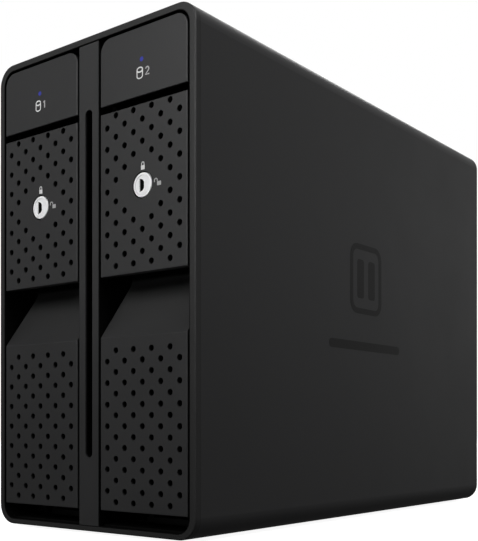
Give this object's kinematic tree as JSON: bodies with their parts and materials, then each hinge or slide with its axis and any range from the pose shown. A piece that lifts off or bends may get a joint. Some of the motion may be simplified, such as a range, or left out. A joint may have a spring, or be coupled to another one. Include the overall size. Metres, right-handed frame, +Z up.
{
  "type": "drive enclosure",
  "caption": "Upright drive enclosure: metal sleeve, lockable pull-out drive trays with perforated fronts and finger scoops, rear fan and ports.",
  "frame": {"origin": "on the floor, under the middle of the body", "axes": "+Z up, front faces -Y, +X to the right seen from the front"},
  "size_m": [0.094, 0.208, 0.1663],
  "materials": {
    "sleeve_anodised": "black bead-blasted anodised",
    "front_plastic": "fine moulded texture, black",
    "inner_plastic": "plain moulded, black",
    "panel_steel": "black powder coat",
    "cage_steel": "black electrocoated sheet",
    "screw_steel": "black zinc plated",
    "lock_steel": "satin nickel",
    "connector_plastic": "glass-filled, black",
    "connector_steel": "tin plated",
    "brass_contact": "plain",
    "circuit_board": "green solder mask",
    "led_blue": "blue light pipe, glows in use",
    "led_body": "moulded resin",
    "switch_plastic": "polished black",
    "fan_plastic": "moulded, black",
    "stator_copper": "enamelled copper winding",
    "heat_sink_aluminium": "bare extrusion",
    "foot_rubber": "soft, matte",
    "cable_jacket": "soft black insulation"
  },
  "bodies": {
    "enclosure": {"housing_sleeve": "sleeve_anodised", "front_bezel": "front_plastic", "rear_bezel": "front_plastic", "center_column": "front_plastic", "led_panel_left": "front_plastic", "led_panel_right": "front_plastic", "light_pipes": "led_blue", "led_board": "circuit_board", "status_leds": "led_body", "cage_floor": "cage_steel", "cage_roof": "cage_steel", "cage_side_left": "cage_steel", "cage_side_right": "cage_steel", "cage_divider": "cage_steel", "guide_rail_lower_left": "inner_plastic", "guide_rail_lower_right": "inner_plastic", "guide_rail_upper_left": "inner_plastic", "guide_rail_upper_right": "inner_plastic", "backplane_board": "circuit_board", "sata_connector_left": "connector_plastic", "sata_connector_right": "connector_plastic", "board_link": "connector_plastic", "main_board": "circuit_board", "board_standoffs": "brass_contact", "board_screws": "screw_steel", "heat_sink": "heat_sink_aluminium", "usb_c_shell": "connector_steel", "usb_c_tongue": "connector_plastic", "dc_power_jack": "connector_plastic", "dc_center_pin": "brass_contact", "rocker_housing": "switch_plastic", "raid_switch": "connector_plastic", "tact_switch": "connector_plastic", "fan_frame": "fan_plastic", "fan_stator": "stator_copper", "fan_cable": "cable_jacket", "led_cable": "cable_jacket", "rear_panel": "panel_steel", "rear_screws": "screw_steel", "rubber_feet": "foot_rubber"},
    "fan": {"fan_rotor": "fan_plastic"},
    "power_switch": {"power_rocker": "switch_plastic"},
    "raid_selector": {"raid_dial": "switch_plastic"},
    "set_key": {"set_button": "switch_plastic"},
    "tray_left": {"tray_door_left": "front_plastic", "tray_frame_left": "inner_plastic", "tray_screws_left": "screw_steel", "lock_housing_left": "lock_steel", "lock_nut_left": "connector_steel"},
    "lock_left": {"lock_plug_left": "lock_steel", "lock_cam_left": "connector_steel", "lock_cam_screw_left": "screw_steel"},
    "tray_right": {"tray_door_right": "front_plastic", "tray_frame_right": "inner_plastic", "tray_screws_right": "screw_steel", "lock_housing_right": "lock_steel", "lock_nut_right": "connector_steel"},
    "lock_right": {"lock_plug_right": "lock_steel", "lock_cam_right": "connector_steel", "lock_cam_screw_right": "screw_steel"}
  },
  "joints": [
    {"name": "tray_left_slide", "type": "slide", "parent": "enclosure", "child": "tray_left", "axis": [0, -1, 0], "range_m": [0, 0.145]},
    {"name": "lock_left_turn", "type": "hinge", "parent": "tray_left", "child": "lock_left", "pos_m": [-0.02465, -0.104, 0.1127], "axis": [0, 1, 0], "range_deg": [0, 90]},
    {"name": "tray_right_slide", "type": "slide", "parent": "enclosure", "child": "tray_right", "axis": [0, -1, 0], "range_m": [0, 0.145]},
    {"name": "lock_right_turn", "type": "hinge", "parent": "tray_right", "child": "lock_right", "pos_m": [0.02465, -0.104, 0.1127], "axis": [0, 1, 0], "range_deg": [0, 90]},
    {"name": "fan_spin", "type": "hinge", "parent": "enclosure", "child": "fan", "pos_m": [0, 0.088, 0.085], "axis": [0, 1, 0], "continuous": true},
    {"name": "power_rocker_tilt", "type": "hinge", "parent": "enclosure", "child": "power_switch", "pos_m": [0.026, 0.098, 0.1536], "axis": [0, 0, -1], "range_deg": [0, 16]},
    {"name": "raid_dial_turn", "type": "hinge", "parent": "enclosure", "child": "raid_selector", "pos_m": [0.009, 0.098, 0.1548], "axis": [0, 1, 0], "range_deg": [0, 270]},
    {"name": "set_button_press", "type": "slide", "parent": "enclosure", "child": "set_key", "axis": [0, -1, 0], "range_m": [0, 0.0008], "stiffness_N_per_m": 1500}
  ]
}
